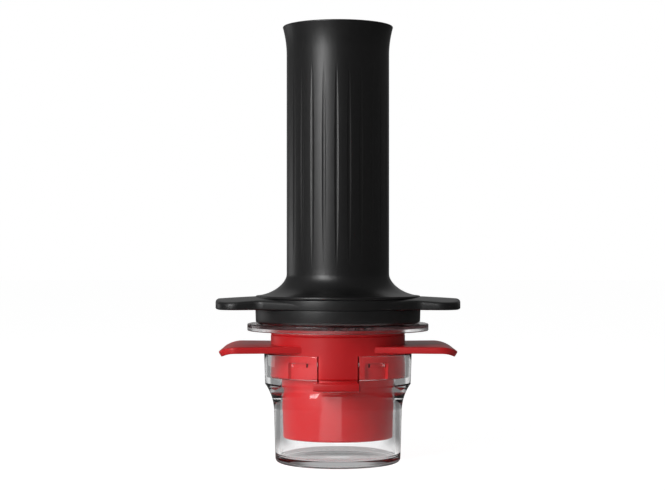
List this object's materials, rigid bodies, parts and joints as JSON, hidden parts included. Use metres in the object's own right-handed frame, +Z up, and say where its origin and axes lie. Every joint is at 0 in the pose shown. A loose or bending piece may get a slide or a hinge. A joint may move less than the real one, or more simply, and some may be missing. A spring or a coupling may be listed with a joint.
{
  "type": "handheld manual espresso maker",
  "caption": "Hand-pressed espresso maker: fluted plunger sleeve over a clear water chamber, winged filter holder with basket, standing in its own clear cup.",
  "frame": {"origin": "middle of the cup's foot, on the surface that the cup stands on", "axes": "+Z up along the common axis; the finger wings lie along X; the latch bars face -Y and +Y"},
  "size_m": [0.1218, 0.0904, 0.217],
  "materials": {
    "clear_plastic": "clear, polished",
    "red_plastic": "moulded, satin gloss",
    "black_plastic": "moulded, satin gloss",
    "black_rubber": "matte silicone",
    "grey_plastic": "moulded, matte",
    "white_plastic": "turned, smooth",
    "sheet_steel": "pressed, brushed",
    "screw_steel": "bright",
    "rod_aluminium": "anodised, drawn"
  },
  "bodies": {
    "cup": {"espresso_cup": "clear_plastic"},
    "holder": {"filter_holder": "red_plastic", "outlet_nozzle": "black_rubber", "filter_basket": "sheet_steel", "basket_gasket": "black_rubber"},
    "chamber": {"water_chamber": "clear_plastic", "dispersion_plate": "grey_plastic", "shower_screen": "sheet_steel", "screen_screw": "screw_steel"},
    "plunger": {"grip_sleeve": "black_plastic", "wing_plate": "black_plastic", "base_skirt": "black_plastic", "plate_screws": "screw_steel", "guide_ring": "white_plastic", "palm_cap": "black_plastic", "palm_pad": "black_rubber", "rod_screw": "screw_steel", "piston_rod": "rod_aluminium", "piston_head": "grey_plastic", "piston_o_ring": "black_rubber", "lip_seal": "black_rubber", "seal_retainer": "sheet_steel", "retainer_screw": "screw_steel"}
  },
  "joints": [
    {"name": "brewer_lift", "type": "slide", "parent": "cup", "child": "holder", "axis": [0, 0, 1], "range_m": [0, 0.06]},
    {"name": "bayonet_twist", "type": "hinge", "parent": "holder", "child": "chamber", "pos_m": [0, 0, 0.06], "axis": [0, 0, 1], "range_deg": [0, 50]},
    {"name": "plunger_pull", "type": "slide", "parent": "chamber", "child": "plunger", "axis": [0, 0, 1], "range_m": [0, 0.1]}
  ]
}
